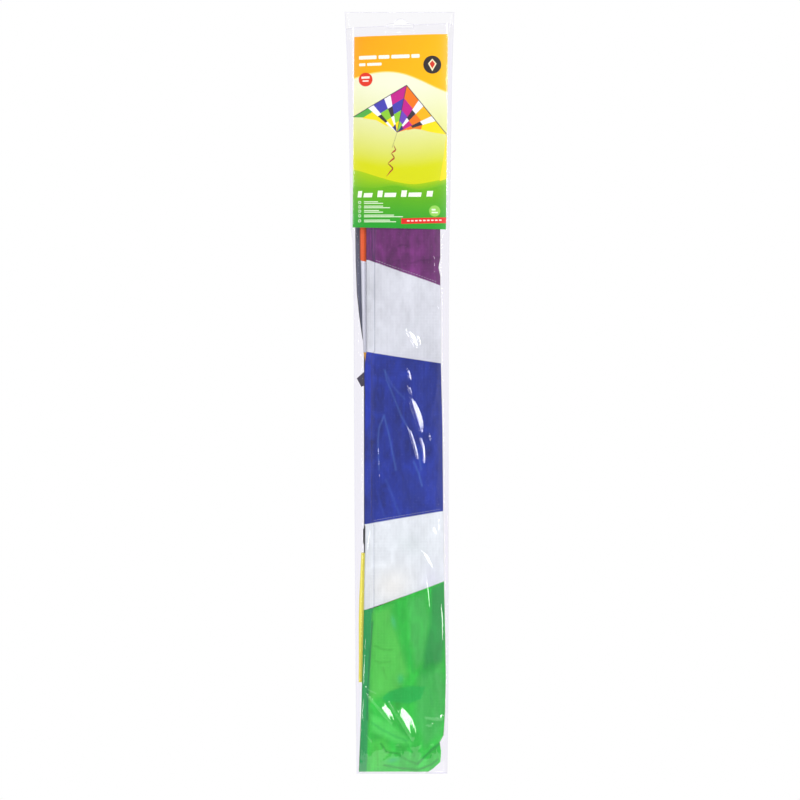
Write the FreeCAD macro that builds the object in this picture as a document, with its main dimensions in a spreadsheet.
import FreeCAD, Part
import Sketcher
import os
from FreeCAD import Vector, Placement, Rotation

# Packed two-metre delta kite in its clear hanging sleeve.
# Frame: the pack hangs upright.  +Z up, X across the sleeve, the printed card
# and the left wing face -Y, the flat back film faces +Y.  The origin is the
# middle of the bottom of the bounding box.  All sizes in millimetres.

doc = FreeCAD.newDocument("DeltaKitePack")
sheet = doc.addObject("Spreadsheet::Sheet", "Dims")

D = {
    # sleeve
    "film": 0.3,
    "depth_half": 11.3,
    "pack_height": 1147.5,
    "mouth_height": 1124.0,
    "flare_low": 1000.0,
    "flare_high": 1120.0,
    "header_left": -81.75,
    "header_right": 81.75,
    "tube_left": -74.3,
    "tube_right": 76.5,
    "tube_chamfer": 3.0,
    "slot_height": 6.0,
    "slot_middle": 1127.4,
    "slot_offset": 1.5,
    "slot_half": 17.0,
    "slot_dome": 10.8,
    # printed card
    "card_thick": 0.5,
    "card_front": -10.4,
    # sail stack, measured along the depth
    "left_front": -9.2,
    "panel_thick": 1.6,
    "row_left_mid": -7.6,
    "row_left_in": -4.2,
    "row_split": -0.8,
    "row_right_in": 2.6,
    "right_row_back": 4.2,
    "stack_back": 9.8,
    # sail outline across the pack
    "left_tunnel_lo": -52.0,
    "left_tunnel_hi": -38.0,
    "right_tunnel_lo": -60.5,
    "right_tunnel_hi": -47.5,
    "fold_inner": -26.0,
    # sail outline up the pack
    "kite_foot": 3.0,
    "tip_fold": 140.0,
    "tunnel_top": 1096.0,
    "nose_top": 1106.0,
    "row_edge": 60.75,
    "seam_a_lo": 734.4,
    "seam_a_hi": 766.2,
    "seam_b_lo": 617.6,
    "seam_b_hi": 632.3,
    "seam_c_lo": 378.1,
    "seam_c_hi": 395.7,
    "seam_d_lo": 252.3,
    "seam_d_hi": 290.1,
    "right_seam_d_lo": 331.0,
    "right_seam_d_hi": 347.0,
    # tunnels
    "cloth": 0.5,
    "left_tunnel_back": -2.6,
    "right_tunnel_front": -2.5,
    "gap_low": 333.0,
    "gap_high": 626.0,
    "spine_x": -43.5,
    "spine_y": 7.45,
    "spine_box": 3.2,
    # rods
    "rod": 2.0,
    "spine_rod": 2.2,
    "cap_wall": 0.5,
    "spine_cap_wall": 0.4,
    "cap_length": 22.0,
    "rod_low": 165.0,
    "rod_length": 915.0,
    "left_rod_x": -44.75,
    "left_rod_y": -5.9,
    "right_rod_x": -51.6,
    "right_rod_y": 0.85,
    "spine_low": 122.0,
    "spine_length": 966.0,
    "spreader_x": -30.0,
    "spreader_y": 0.0,
    "spreader_low": 14.0,
    "spreader_length": 950.0,
    # connectors on the leading edge rods
    "ring_bore": 2.05,
    "left_ring": 2.65,
    "right_ring": 3.2,
    "left_ring_low": 582.0,
    "right_ring_low": 346.0,
    "ring_length": 23.0,
    "tab_thick": 1.4,
    # keel
    "keel_thick": 0.8,
    "keel_y": 7.8,
    "keel_foot": 640.0,
    "keel_head": 1010.0,
    "keel_out": -66.0,
    "eyelet_z": 905.0,
    "eyelet_x": -63.0,
    # shift that keeps every sketch coordinate positive
    "shift": 100.0,
}
for row, (alias, value) in enumerate(D.items(), start=1):
    sheet.set("A%d" % row, alias.replace("_", " "))
    sheet.set("B%d" % row, str(value))
    sheet.setAlias("B%d" % row, alias)
doc.recompute()

nodes = {}


def num(t):
    """Value of a number, an alias, or (alias, offset)."""
    if isinstance(t, str):
        return D[t]
    if isinstance(t, tuple):
        return D[t[0]] + t[1]
    return float(t)


def exp(t):
    """The same as an expression on the sheet."""
    if isinstance(t, str):
        return "Dims." + t
    if isinstance(t, tuple):
        return "Dims.%s + (%r)" % (t[0], t[1])
    return "%r" % float(t)


def place(obj, x=0.0, y=0.0, z=0.0, rot=None):
    """Put an object at x, y, z, each bound to the sheet."""
    obj.Placement = Placement(
        Vector(num(x), num(y), num(z)), rot if rot else Rotation()
    )
    for key, t in (("x", x), ("y", y), ("z", z)):
        obj.setExpression(".Placement.Base." + key, exp(t))
    return obj


def plane(body, role):
    return [f for f in body.Origin.OriginFeatures if f.Role == role][0]


def polygon(sk, pts, shift=True):
    """Closed outline whose corners are all bound to the sheet."""
    add = D["shift"] if shift else 0.0
    xs = [num(p[0]) + add for p in pts]
    ys = [num(p[1]) for p in pts]
    n = len(pts)
    first = sk.GeometryCount
    for i in range(n):
        k = (i + 1) % n
        sk.addGeometry(
            Part.LineSegment(Vector(xs[i], ys[i], 0), Vector(xs[k], ys[k], 0)), False
        )
    for i in range(n):
        k = (i + 1) % n
        sk.addConstraint(
            Sketcher.Constraint("Coincident", first + i, 2, first + k, 1)
        )
    for i, p in enumerate(pts):
        c = sk.addConstraint(
            Sketcher.Constraint("DistanceX", -1, 1, first + i, 1, xs[i])
        )
        sk.setExpression(
            "Constraints[%d]" % c, exp(p[0]) + (" + Dims.shift" if shift else "")
        )
        c = sk.addConstraint(
            Sketcher.Constraint("DistanceY", -1, 1, first + i, 1, ys[i])
        )
        sk.setExpression("Constraints[%d]" % c, exp(p[1]))


def slab(label, pts, back, thick):
    """A flat piece with an outline in X and Z, padded towards -Y from back."""
    body = doc.addObject("PartDesign::Body", label)
    body.Label = label
    sk = body.newObject("Sketcher::SketchObject", label + "_outline")
    sk.AttachmentSupport = [(plane(body, "XZ_Plane"), "")]
    sk.MapMode = "FlatFace"
    polygon(sk, pts)
    pad = body.newObject("PartDesign::Pad", label + "_pad")
    pad.Profile = sk
    pad.Length = num(thick)
    pad.setExpression("Length", exp(thick))
    place(body, ("shift", -2 * D["shift"]), back, 0.0)
    body.setExpression(".Placement.Base.x", "-Dims.shift")
    nodes[label] = body
    return body


def turned(label, pts, x, y, z):
    """A piece turned about a vertical axis from a profile of radius and height."""
    body = doc.addObject("PartDesign::Body", label)
    body.Label = label
    sk = body.newObject("Sketcher::SketchObject", label + "_profile")
    sk.AttachmentSupport = [(plane(body, "XZ_Plane"), "")]
    sk.MapMode = "FlatFace"
    polygon(sk, pts, shift=False)
    rev = body.newObject("PartDesign::Revolution", label + "_turn")
    rev.Profile = sk
    rev.ReferenceAxis = (sk, ["V_Axis"])
    rev.Angle = 360.0
    place(body, x, y, z)
    nodes[label] = body
    return body


def block(name, x, y, z, length, width, height):
    box = doc.addObject("Part::Box", name)
    for key, t in (("Length", length), ("Width", width), ("Height", height)):
        setattr(box, key, num(t))
        if isinstance(t, (str, tuple)):
            box.setExpression(key, exp(t))
    return place(box, x, y, z)


def rod(label, x, y, z, radius, height):
    cyl = doc.addObject("Part::Cylinder", label)
    cyl.Label = label
    cyl.Radius = num(radius)
    cyl.Height = num(height)
    cyl.setExpression("Radius", exp(radius))
    cyl.setExpression("Height", exp(height))
    place(cyl, x, y, z)
    nodes[label] = cyl
    return cyl


def cut(label, base, tool):
    c = doc.addObject("Part::Cut", label)
    c.Label = label
    c.Base = base
    c.Tool = tool
    nodes[label] = c
    return c


def tunnel(label, x0, x1, y0, y1, z0, z1, window=None):
    """A sewn cloth tunnel: a flat tube, open at both ends, cloth thick."""
    c = D["cloth"]
    w, d, h = num(x1) - num(x0), num(y1) - num(y0), num(z1) - num(z0)
    outer = block(label + "_outer", x0, y0, z0, w, d, h)
    inner = block(
        label + "_inner", num(x0) + c, num(y0) + c, num(z0) - 5, w - 2 * c, d - 2 * c, h + 10
    )
    ox, oy, oz = exp(x0), exp(y0), exp(z0)
    px, py, pz = exp(x1), exp(y1), exp(z1)
    outer.setExpression("Length", "(%s) - (%s)" % (px, ox))
    outer.setExpression("Width", "(%s) - (%s)" % (py, oy))
    outer.setExpression("Height", "(%s) - (%s)" % (pz, oz))
    inner.setExpression("Length", "(%s) - (%s) - 2 * Dims.cloth" % (px, ox))
    inner.setExpression("Width", "(%s) - (%s) - 2 * Dims.cloth" % (py, oy))
    inner.setExpression("Height", "(%s) - (%s) + 10" % (pz, oz))
    inner.setExpression(".Placement.Base.x", "%s + Dims.cloth" % ox)
    inner.setExpression(".Placement.Base.y", "%s + Dims.cloth" % oy)
    inner.setExpression(".Placement.Base.z", "%s - 5" % oz)
    tool = inner
    if window is not None:
        tool = doc.addObject("Part::Fuse", label + "_tool")
        tool.Base = inner
        tool.Tool = window
    return cut(label, outer, tool)


# ---------------------------------------------------------------- the sleeve
# Back film: one flat sheet, flared at the header, with a hang slot that has
# straight sides, round ends and a domed middle.
back_sheet = slab(
    "back_sheet",
    [
        ("tube_left", 0.0),
        ("tube_right", 0.0),
        ("tube_right", "flare_low"),
        ("header_right", "flare_high"),
        ("header_right", "pack_height"),
        ("header_left", "pack_height"),
        ("header_left", "flare_high"),
        ("tube_left", "flare_low"),
    ],
    "depth_half",
    "film",
)
del nodes["back_sheet"]

slot_bar = block("slot_bar", 0, 0, 0, 34.0, 6.0, 6.0)
slot_bar.setExpression("Length", "2 * Dims.slot_half")
slot_bar.setExpression("Width", "6")
slot_bar.setExpression("Height", "Dims.slot_height")
slot_bar.setExpression(".Placement.Base.x", "Dims.slot_offset - Dims.slot_half")
slot_bar.setExpression(".Placement.Base.y", "Dims.depth_half - 3")
slot_bar.setExpression(".Placement.Base.z", "Dims.slot_middle - Dims.slot_height / 2")


def slot_round(name, side, radius, angle, drop):
    c = doc.addObject("Part::Cylinder", name)
    c.Angle = angle
    c.Placement = Placement(Vector(0, 0, 0), Rotation(Vector(1, 0, 0), 90))
    c.setExpression("Radius", radius)
    c.setExpression("Height", "6")
    c.setExpression(".Placement.Base.x", "Dims.slot_offset + (%d) * Dims.slot_half" % side)
    c.setExpression(".Placement.Base.y", "Dims.depth_half + 3")
    c.setExpression(".Placement.Base.z", "Dims.slot_middle - " + drop)
    return c


slot_tool = doc.addObject("Part::MultiFuse", "slot_tool")
slot_tool.Shapes = [
    slot_bar,
    slot_round("slot_end_left", -1, "Dims.slot_height / 2", 360, "0"),
    slot_round("slot_end_right", 1, "Dims.slot_height / 2", 360, "0"),
    slot_round("slot_dome_cut", 0, "Dims.slot_dome", 180, "0"),
]
cut("sleeve_back_film", back_sheet, slot_tool)

# Front film: a channel with chamfered front corners that stands on the back
# film, open at the mouth and closed at the foot.
front = doc.addObject("PartDesign::Body", "sleeve_front_film")
front.Label = "sleeve_front_film"
wall = front.newObject("Sketcher::SketchObject", "front_wall_profile")
wall.AttachmentSupport = [(plane(front, "XY_Plane"), "")]
wall.MapMode = "FlatFace"
f, ch = D["film"], D["tube_chamfer"]
k = round(f * 0.41421356, 4)
# measured from the back film's inner face, towards the front as positive
deep = round(2 * D["depth_half"] - f, 4)
sheet_rows = len(D)
for extra, (alias, text) in enumerate(
    (
        ("channel_deep", "=2 * depth_half - film"),
        ("film_nook", "=film * 0.41421356"),
    ),
    start=sheet_rows + 1,
):
    sheet.set("A%d" % extra, alias.replace("_", " "))
    sheet.set("B%d" % extra, text)
    sheet.setAlias("B%d" % extra, alias)
D["channel_deep"] = deep
D["film_nook"] = f * 0.41421356
doc.recompute()


def corner(x, xo, y, yo):
    return ((x, xo), (y, yo))


wall_pts = [
    corner("tube_left", 0.0, "shift", -D["shift"]),
    corner("tube_left", 0.0, "channel_deep", -ch),
    corner("tube_left", ch, "channel_deep", 0.0),
    corner("tube_right", -ch, "channel_deep", 0.0),
    corner("tube_right", 0.0, "channel_deep", -ch),
    corner("tube_right", 0.0, "shift", -D["shift"]),
    corner("tube_right", -f, "shift", -D["shift"]),
    corner("tube_right", -f, "channel_deep", -ch - k),
    corner("tube_right", -ch - k, "channel_deep", -f),
    corner("tube_left", ch + k, "channel_deep", -f),
    corner("tube_left", f, "channel_deep", -ch - k),
    corner("tube_left", f, "shift", -D["shift"]),
]
polygon(wall, wall_pts)
wall_pad = front.newObject("PartDesign::Pad", "front_wall_pad")
wall_pad.Profile = wall
wall_pad.Length = D["mouth_height"]
wall_pad.setExpression("Length", "Dims.mouth_height")
foot = front.newObject("Sketcher::SketchObject", "front_foot_profile")
foot.AttachmentSupport = [(plane(front, "XY_Plane"), "")]
foot.MapMode = "FlatFace"
polygon(foot, wall_pts[:6])
foot_pad = front.newObject("PartDesign::Pad", "front_foot_pad")
foot_pad.Profile = foot
foot_pad.Length = D["film"]
foot_pad.setExpression("Length", "Dims.film")
# the channel is drawn opening away from the back film and mirrored onto it
front.Placement = Placement(
    Vector(-D["shift"], D["depth_half"] - D["film"], 0), Rotation()
)
turned_film = doc.addObject("Part::Mirroring", "front_turned")
turned_film.Source = front
turned_film.Normal = Vector(0, 1, 0)
turned_film.Base = Vector(0, D["depth_half"] - D["film"], 0)
turned_film.setExpression("Base.y", "Dims.depth_half - Dims.film")
front.Label = "front_channel"
turned_film.Label = "sleeve_front_film"
nodes["sleeve_front_film"] = turned_film

# ------------------------------------------------------------ the printed card
slab(
    "header_card",
    [
        (-70.5, 821.5),
        (69.75, 818.5),
        (72.75, 1112.0 - 0.5),
        (-68.0, 1107.5),
    ],
    ("card_front", D["card_thick"]),
    "card_thick",
)

# --------------------------------------------------- left wing, leading edge row
L0 = "left_tunnel_hi"
row_top_right = 1021.5
slab(
    "left_panel_purple",
    [(L0, "seam_a_hi"), ("row_edge", "seam_a_lo"), ("row_edge", row_top_right), (L0, "tunnel_top")],
    ("left_front", D["panel_thick"]),
    "panel_thick",
)
slab(
    "left_panel_white_upper",
    [(L0, "seam_b_hi"), (("row_edge", 1.5), "seam_b_lo"), ("row_edge", "seam_a_lo"), (L0, "seam_a_hi")],
    ("left_front", D["panel_thick"]),
    "panel_thick",
)
slab(
    "left_panel_blue",
    [(L0, "seam_c_lo"), (("row_edge", 4.95), "seam_c_hi"), (("row_edge", 1.5), "seam_b_lo"), (L0, "seam_b_hi")],
    ("left_front", D["panel_thick"]),
    "panel_thick",
)
slab(
    "left_panel_white_lower",
    [(L0, "seam_d_lo"), (("row_edge", 6.3), "seam_d_hi"), (("row_edge", 4.95), "seam_c_hi"), (L0, "seam_c_lo")],
    ("left_front", D["panel_thick"]),
    "panel_thick",
)
slab(
    "left_panel_green",
    [
        (L0, "seam_d_lo"),
        (L0, "tip_fold"),
        (-56.0, "tip_fold"),
        (-61.2, "kite_foot"),
        (43.35, "kite_foot"),
        (61.65, 18.0),
        (60.0, 46.5),
        (66.3, 58.5),
        (69.75, 145.5),
        (("row_edge", 6.3), "seam_d_hi"),
    ],
    ("left_front", D["panel_thick"]),
    "panel_thick",
)

# -------------------------------------------------- right wing, leading edge row
R0 = "right_tunnel_hi"
slab(
    "right_panel_orange",
    [(R0, ("seam_a_hi", 3.0)), ("row_edge", "seam_a_lo"), ("row_edge", row_top_right), (R0, "tunnel_top")],
    "right_row_back",
    "panel_thick",
)
slab(
    "right_panel_white_upper",
    [(R0, ("seam_b_hi", 2.0)), (("row_edge", 1.5), "seam_b_lo"), ("row_edge", "seam_a_lo"), (R0, ("seam_a_hi", 3.0))],
    "right_row_back",
    "panel_thick",
)
slab(
    "right_panel_gold",
    [(R0, ("seam_c_lo", -1.0)), (("row_edge", 4.95), "seam_c_hi"), (("row_edge", 1.5), "seam_b_lo"), (R0, ("seam_b_hi", 2.0))],
    "right_row_back",
    "panel_thick",
)
slab(
    "right_panel_white_lower",
    [(R0, "right_seam_d_lo"), (("row_edge", 6.3), "right_seam_d_hi"), (("row_edge", 4.95), "seam_c_hi"), (R0, ("seam_c_lo", -1.0))],
    "right_row_back",
    "panel_thick",
)
slab(
    "right_panel_yellow",
    [
        (R0, "right_seam_d_lo"),
        (R0, "tip_fold"),
        (-58.0, "tip_fold"),
        (-58.0, "kite_foot"),
        (52.0, "kite_foot"),
        (62.0, 40.0),
        (68.0, 140.0),
        (("row_edge", 6.3), "right_seam_d_hi"),
    ],
    "right_row_back",
    "panel_thick",
)

# ------------------------------------ checker rows, folded behind the leading rows
fold_pts = [
    ("fold_inner", ("tip_fold", 0.3)),
    (("row_edge", 0.0), ("tip_fold", 40.0)),
    (("row_edge", -1.5), 1010.0),
    ("fold_inner", ("tunnel_top", -16.0)),
]
for label, back_at, front_at in (
    ("left_middle_row", "row_left_in", "row_left_mid"),
    ("left_inner_row", "row_split", "row_left_in"),
    ("right_inner_row", "row_right_in", "row_split"),
    ("right_middle_row", "stack_back", "right_row_back"),
):
    b = slab(label, fold_pts, back_at, round(D[back_at] - D[front_at], 4))
    pad = doc.getObject(label + "_pad")
    pad.setExpression("Length", "Dims.%s - Dims.%s" % (back_at, front_at))

# -------------------------------------------------- wing tips, folded up inside
tip_pts = [(-20.0, ("kite_foot", 1.0)), (43.0, ("kite_foot", 1.0)), (58.0, 46.0), (58.0, 130.0), (10.0, 130.0)]
for label, back_at, front_at in (
    ("left_wing_tip", "row_right_in", "row_left_mid"),
    ("right_wing_tip", "stack_back", "right_row_back"),
):
    slab(label, tip_pts, back_at, round(D[back_at] - D[front_at], 4))
    doc.getObject(label + "_pad").setExpression(
        "Length", "Dims.%s - Dims.%s" % (back_at, front_at)
    )

# ------------------------------------------------------------ leading edge tunnels
# the left one has a window in its outer wall for the connector's tab
window = block("left_window", ("left_tunnel_lo", -1.0), ("left_front", 0.5), 570.0, 4.0, 5.6, 56.0)
tunnel("left_spar_tunnel", "left_tunnel_lo", "left_tunnel_hi", "left_front", "left_tunnel_back", "tip_fold", "tunnel_top", window)
tunnel("right_spar_tunnel_upper", "right_tunnel_lo", "right_tunnel_hi", "right_tunnel_front", "right_row_back", "gap_high", "tunnel_top")
tunnel("right_spar_tunnel_lower", "right_tunnel_lo", "right_tunnel_hi", "right_tunnel_front", "right_row_back", "tip_fold", "gap_low")
tunnel("spine_tunnel_upper", ("spine_x", -D["spine_box"]), ("spine_x", D["spine_box"]), ("spine_y", -D["spine_box"]), ("spine_y", D["spine_box"]), "gap_high", "tunnel_top")
tunnel("spine_tunnel_lower", ("spine_x", -D["spine_box"]), ("spine_x", D["spine_box"]), ("spine_y", -D["spine_box"]), ("spine_y", D["spine_box"]), 118.0, "gap_low")

# ------------------------------------------------------------- reinforcing patches
slab(
    "nose_patch",
    [
        (-60.5, "tunnel_top"),
        (-38.0, "tunnel_top"),
        (-44.0, ("nose_top", -3.0)),
        (-50.0, "nose_top"),
        (-60.5, ("nose_top", -2.0)),
    ],
    "stack_back",
    round(D["stack_back"] - D["left_front"], 4),
)
doc.getObject("nose_patch_pad").setExpression("Length", "Dims.stack_back - Dims.left_front")
slab(
    "tail_patch",
    [
        (("spine_x", -D["spine_box"]), 118.0),
        (("spine_x", -2.0), 108.0),
        (("spine_x", 2.0), 108.0),
        (("spine_x", D["spine_box"]), 118.0),
    ],
    ("spine_y", D["spine_box"]),
    2 * D["spine_box"],
)

# -------------------------------------------------------------------- keel and eye
keel_sheet = slab(
    "keel_sheet",
    [
        (("spine_x", -D["spine_box"]), "keel_foot"),
        (("spine_x", -D["spine_box"]), "keel_head"),
        ("keel_out", 930.0),
        ("keel_out", 820.0),
        (("keel_out", 1.0), 770.0),
        (("keel_out", 4.6), 712.0),
        (("keel_out", 8.5), 675.0),
        (("keel_out", 12.0), 645.0),
    ],
    "keel_y",
    "keel_thick",
)
del nodes["keel_sheet"]
hole = doc.addObject("Part::Cylinder", "keel_hole")
hole.Placement = Placement(Vector(0, 0, 0), Rotation(Vector(1, 0, 0), 90))
hole.Radius = 2.0
hole.Height = 6.0
hole.setExpression(".Placement.Base.x", "Dims.eyelet_x")
hole.setExpression(".Placement.Base.y", "Dims.keel_y + 3")
hole.setExpression(".Placement.Base.z", "Dims.eyelet_z")
cut("keel_panel", keel_sheet, hole)

eyelet = turned(
    "keel_eyelet",
    [(1.4, 0.0), (2.7, 0.0), (2.7, 0.4), (2.0, 0.4), (2.0, 1.2), (2.7, 1.2), (2.7, 1.6), (1.4, 1.6)],
    "eyelet_x",
    ("keel_y", 0.4),
    "eyelet_z",
)
eyelet.Placement = Placement(eyelet.Placement.Base, Rotation(Vector(1, 0, 0), 90))


# -------------------------------------------------------------------------- rods
def cap(label, x, y, z, radius, wall, up):
    """A vinyl cap on a rod's end: a blind sleeve, its closed end up or down."""
    r, w, h = D[radius], D[wall], D["cap_length"]
    if up:
        pts = [(r, 0.0), (r + w, 0.0), (r + w, h - 1.0), (r, h), (0.0, h), (0.0, h - 3.0), (r, h - 3.0)]
    else:
        pts = [(r, h), (r, 3.0), (0.0, 3.0), (0.0, 0.0), (r, 0.0), (r + w, 1.0), (r + w, h)]
    return turned(label, pts, x, y, z)


rod("left_leading_edge_spar", "left_rod_x", "left_rod_y", "rod_low", "rod", "rod_length")
cap("left_spar_nose_cap", "left_rod_x", "left_rod_y", ("rod_low", D["rod_length"] - 19.0), "rod", "cap_wall", True)
cap("left_spar_tip_cap", "left_rod_x", "left_rod_y", ("rod_low", -3.0), "rod", "cap_wall", False)
rod("right_leading_edge_spar", "right_rod_x", "right_rod_y", "rod_low", "rod", "rod_length")
cap("right_spar_nose_cap", "right_rod_x", "right_rod_y", ("rod_low", D["rod_length"] - 19.0), "rod", "cap_wall", True)
cap("right_spar_tip_cap", "right_rod_x", "right_rod_y", ("rod_low", -3.0), "rod", "cap_wall", False)
rod("spine_spar", "spine_x", "spine_y", "spine_low", "spine_rod", "spine_length")
cap("spine_nose_cap", "spine_x", "spine_y", ("spine_low", D["spine_length"] - 19.0), "spine_rod", "spine_cap_wall", True)
cap("spine_tail_cap", "spine_x", "spine_y", ("spine_low", -3.0), "spine_rod", "spine_cap_wall", False)
rod("spreader_rod", "spreader_x", "spreader_y", "spreader_low", "rod", "spreader_length")
cap("spreader_upper_cap", "spreader_x", "spreader_y", ("spreader_low", D["spreader_length"] - 19.0), "rod", "cap_wall", True)
cap("spreader_lower_cap", "spreader_x", "spreader_y", ("spreader_low", -3.0), "rod", "cap_wall", False)


# --------------------------------------------------- connectors on the edge rods
def connector(label, x, y, ring, low, tab_pts):
    """A vinyl ring that turns on the edge rod, with a flat tab for the spreader."""
    ring_body = doc.addObject("Part::Cylinder", label + "_ring")
    ring_body.setExpression("Radius", "Dims." + ring)
    ring_body.setExpression("Height", "Dims.ring_length")
    ring_body.setExpression(".Placement.Base.x", "Dims." + x)
    ring_body.setExpression(".Placement.Base.y", "Dims." + y)
    ring_body.setExpression(".Placement.Base.z", "Dims." + low)
    tab = slab(label + "_tab", tab_pts, (y, D["tab_thick"] / 2), "tab_thick")
    del nodes[label + "_tab"]
    whole = doc.addObject("Part::Fuse", label + "_whole")
    whole.Base = ring_body
    whole.Tool = tab
    bore = doc.addObject("Part::Cylinder", label + "_bore")
    bore.setExpression("Radius", "Dims.ring_bore")
    bore.setExpression("Height", "Dims.ring_length + 20")
    bore.setExpression(".Placement.Base.x", "Dims." + x)
    bore.setExpression(".Placement.Base.y", "Dims." + y)
    bore.setExpression(".Placement.Base.z", "Dims.%s - 10" % low)
    return cut(label, whole, bore)


connector(
    "left_connector_fitting", "left_rod_x", "left_rod_y", "left_ring", "left_ring_low",
    [
        (("left_rod_x", 0.0), 584.0),
        (("left_rod_x", 0.0), 603.0),
        (("left_rod_x", -9.0), 603.4),
        (("left_rod_x", -19.4), 595.0),
        (("left_rod_x", -12.6), 583.2),
    ],
)
connector(
    "right_connector_fitting", "right_rod_x", "right_rod_y", "right_ring", "right_ring_low",
    [
        (("right_rod_x", 0.0), 348.0),
        (("right_rod_x", 7.5), 348.0),
        (("right_rod_x", 9.5), 351.0),
        (("right_rod_x", 9.5), 364.0),
        (("right_rod_x", 7.5), 367.0),
        (("right_rod_x", 0.0), 367.0),
    ],
)

# ---------------------------------------------------------------- build and write
doc.recompute()

bad = [o.Name for o in doc.Objects if "Invalid" in o.State or "Error" in o.State]
if bad:
    raise RuntimeError("failed objects: %s" % bad)
os.makedirs("parts", exist_ok=True)
for old in os.listdir("parts"):
    if old.endswith(".step"):
        os.remove(os.path.join("parts", old))
for label, obj in nodes.items():
    shape = obj.Shape
    if shape.isNull() or not shape.isValid() or len(shape.Solids) != 1:
        raise RuntimeError("bad shape: " + label)
for label, obj in nodes.items():
    obj.Shape.exportStep("parts/%s.step" % label)
    b = obj.Shape.BoundBox
    print(
        "%-26s %9.1f mm3  x %7.2f %7.2f  y %6.2f %6.2f  z %7.1f %7.1f"
        % (label, obj.Shape.Volume, b.XMin, b.XMax, b.YMin, b.YMax, b.ZMin, b.ZMax)
    )
print(len(nodes), "nodes")
